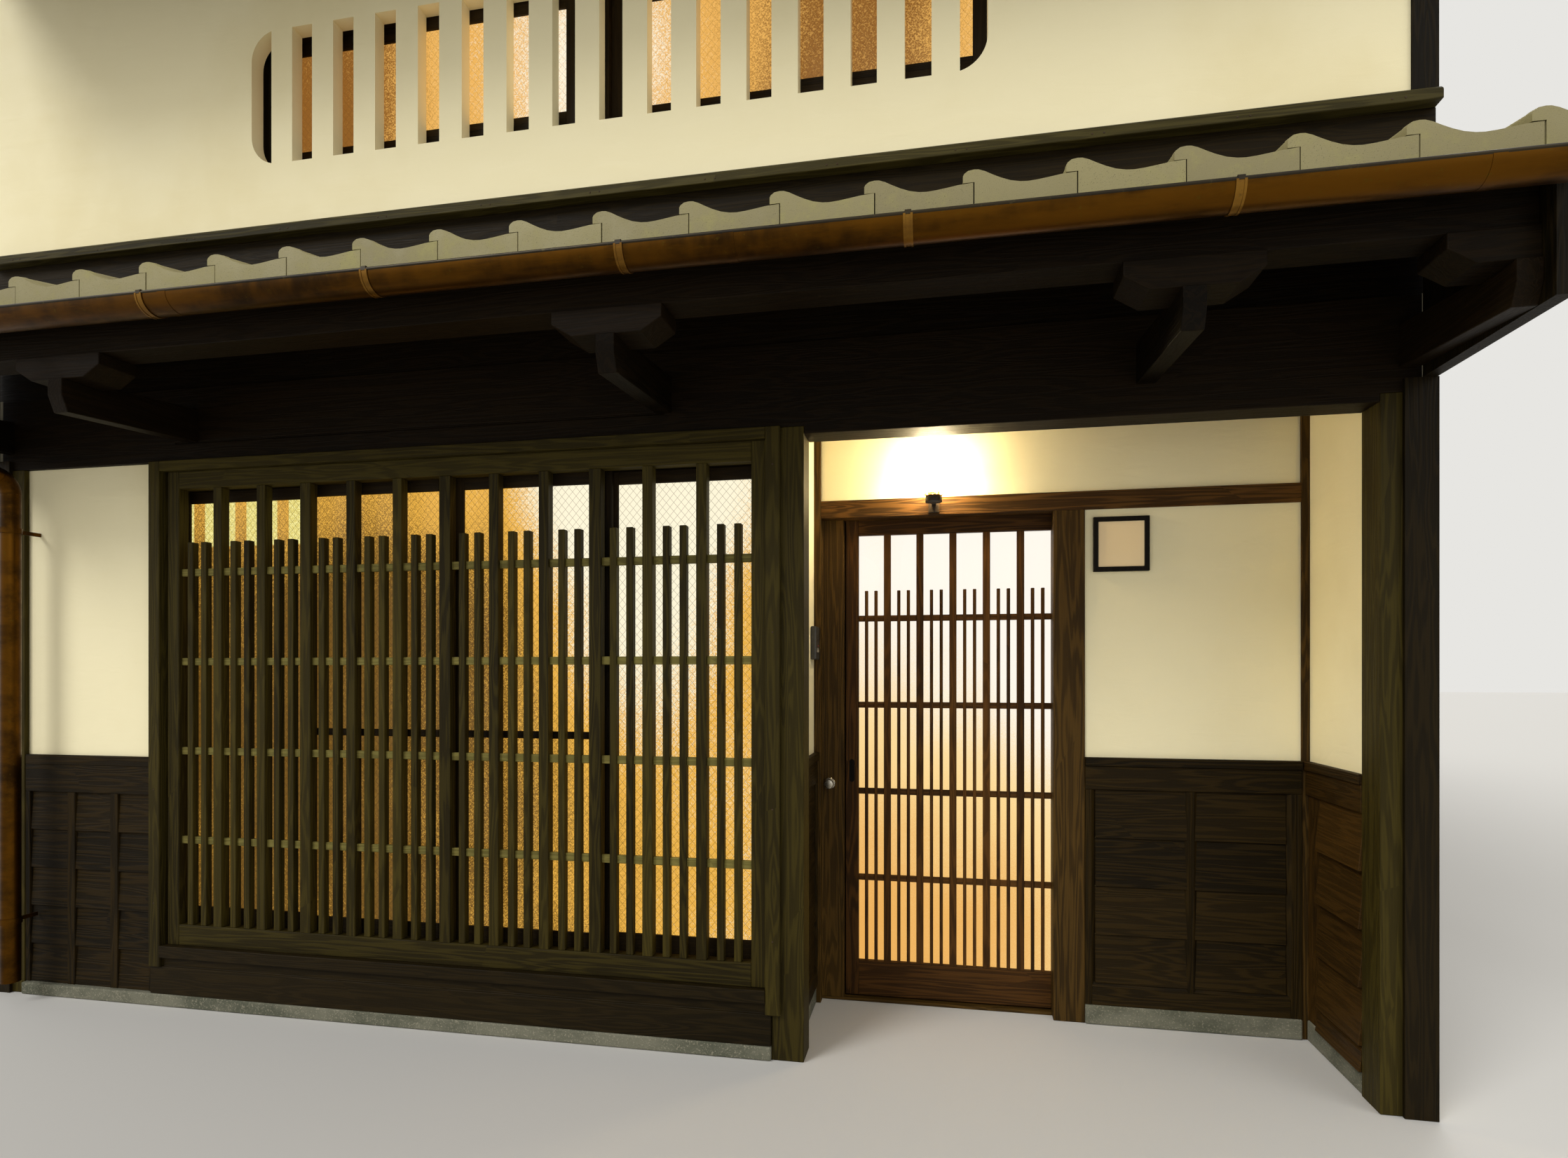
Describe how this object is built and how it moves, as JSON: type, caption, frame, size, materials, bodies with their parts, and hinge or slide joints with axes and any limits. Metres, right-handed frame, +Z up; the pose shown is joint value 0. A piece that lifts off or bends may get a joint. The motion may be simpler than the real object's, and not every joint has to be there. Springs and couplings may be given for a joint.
{
  "type": "machiya townhouse",
  "caption": "Two-storey timber townhouse with a lattice bay, recessed sliding door, tiled pent roof, copper gutter and barred plaster window",
  "frame": {"origin": "on the ground, in the middle of the house's width and depth", "axes": "+X along the street to the right seen from it, +Y from the street to the rear, +Z up"},
  "size_m": [5.8, 9.48, 6.6558],
  "materials": {
    "dark_timber": "dark stained cedar, satin, slightly weathered",
    "recess_timber": "dark stained cedar with knots, satin",
    "sash_timber": "dark stained thin frame timber",
    "board_timber": "dark stained boards with raised grain",
    "wall_boards": "weathered boards on the party walls",
    "floor_boards": "planed floor boards",
    "plaster": "smooth lime plaster, matte",
    "curb_stone": "mottled granite curb, matte",
    "floor_concrete": "trowelled floor",
    "roof_tile": "smoked silver-grey clay tiles, satin",
    "copper": "brown patinated copper sheet, satin",
    "wired_glass": "obscure wired glass lit from inside",
    "door_glazing": "milky door glass lit from inside",
    "shade_glass": "white glass lamp shade",
    "lamp_metal": "dark holder of the lamp",
    "knob_metal": "worn metal knob",
    "sign_frame": "black frame round a bare panel",
    "dark_plastic": "dark housing"
  },
  "bodies": {
    "house": {"front_posts": "dark_timber", "front_beam": "dark_timber", "end_boards": "dark_timber", "curbs": "curb_stone", "lattice_plinth": "dark_timber", "lattice_frame": "dark_timber", "lattice_bars": "dark_timber", "lattice_boards": "dark_timber", "window_frames": "dark_timber", "window_sashes": "sash_timber", "window_glass": "wired_glass", "wall_panels": "plaster", "wainscots": "board_timber", "recess_side_walls": "plaster", "recess_back_wall": "plaster", "transom_wall": "plaster", "recess_wainscots": "board_timber", "recess_ceiling": "board_timber", "door_lintel": "recess_timber", "door_posts": "recess_timber", "door_sill": "recess_timber", "door_knob": "knob_metal", "lamp_bracket": "lamp_metal", "lamp_shade": "shade_glass", "framed_sign": "sign_frame", "intercom": "dark_plastic", "upper_boards": "board_timber", "upper_front_wall": "plaster", "upper_rear_wall": "plaster", "upper_end_boards": "dark_timber", "slot_bars": "plaster", "upper_frames": "dark_timber", "upper_sashes": "sash_timber", "upper_glass": "wired_glass", "left_party_wall": "wall_boards", "right_party_wall": "wall_boards", "ground_floor": "floor_concrete", "upper_floor": "floor_boards", "eaves_arms": "dark_timber", "eaves_bolsters": "dark_timber", "purlins": "dark_timber", "rafters": "dark_timber", "roof_boards": "board_timber", "pent_roof": "roof_tile", "main_roof": "roof_tile", "roof_ridge": "roof_tile", "gutters": "copper", "downpipes": "copper"},
    "sliding_door": {"entrance_door": "recess_timber", "door_glass": "door_glazing"}
  },
  "joints": [
    {"name": "door_slide", "type": "slide", "parent": "house", "child": "sliding_door", "axis": [1, 0, 0], "range_m": [0, 0.8]}
  ]
}
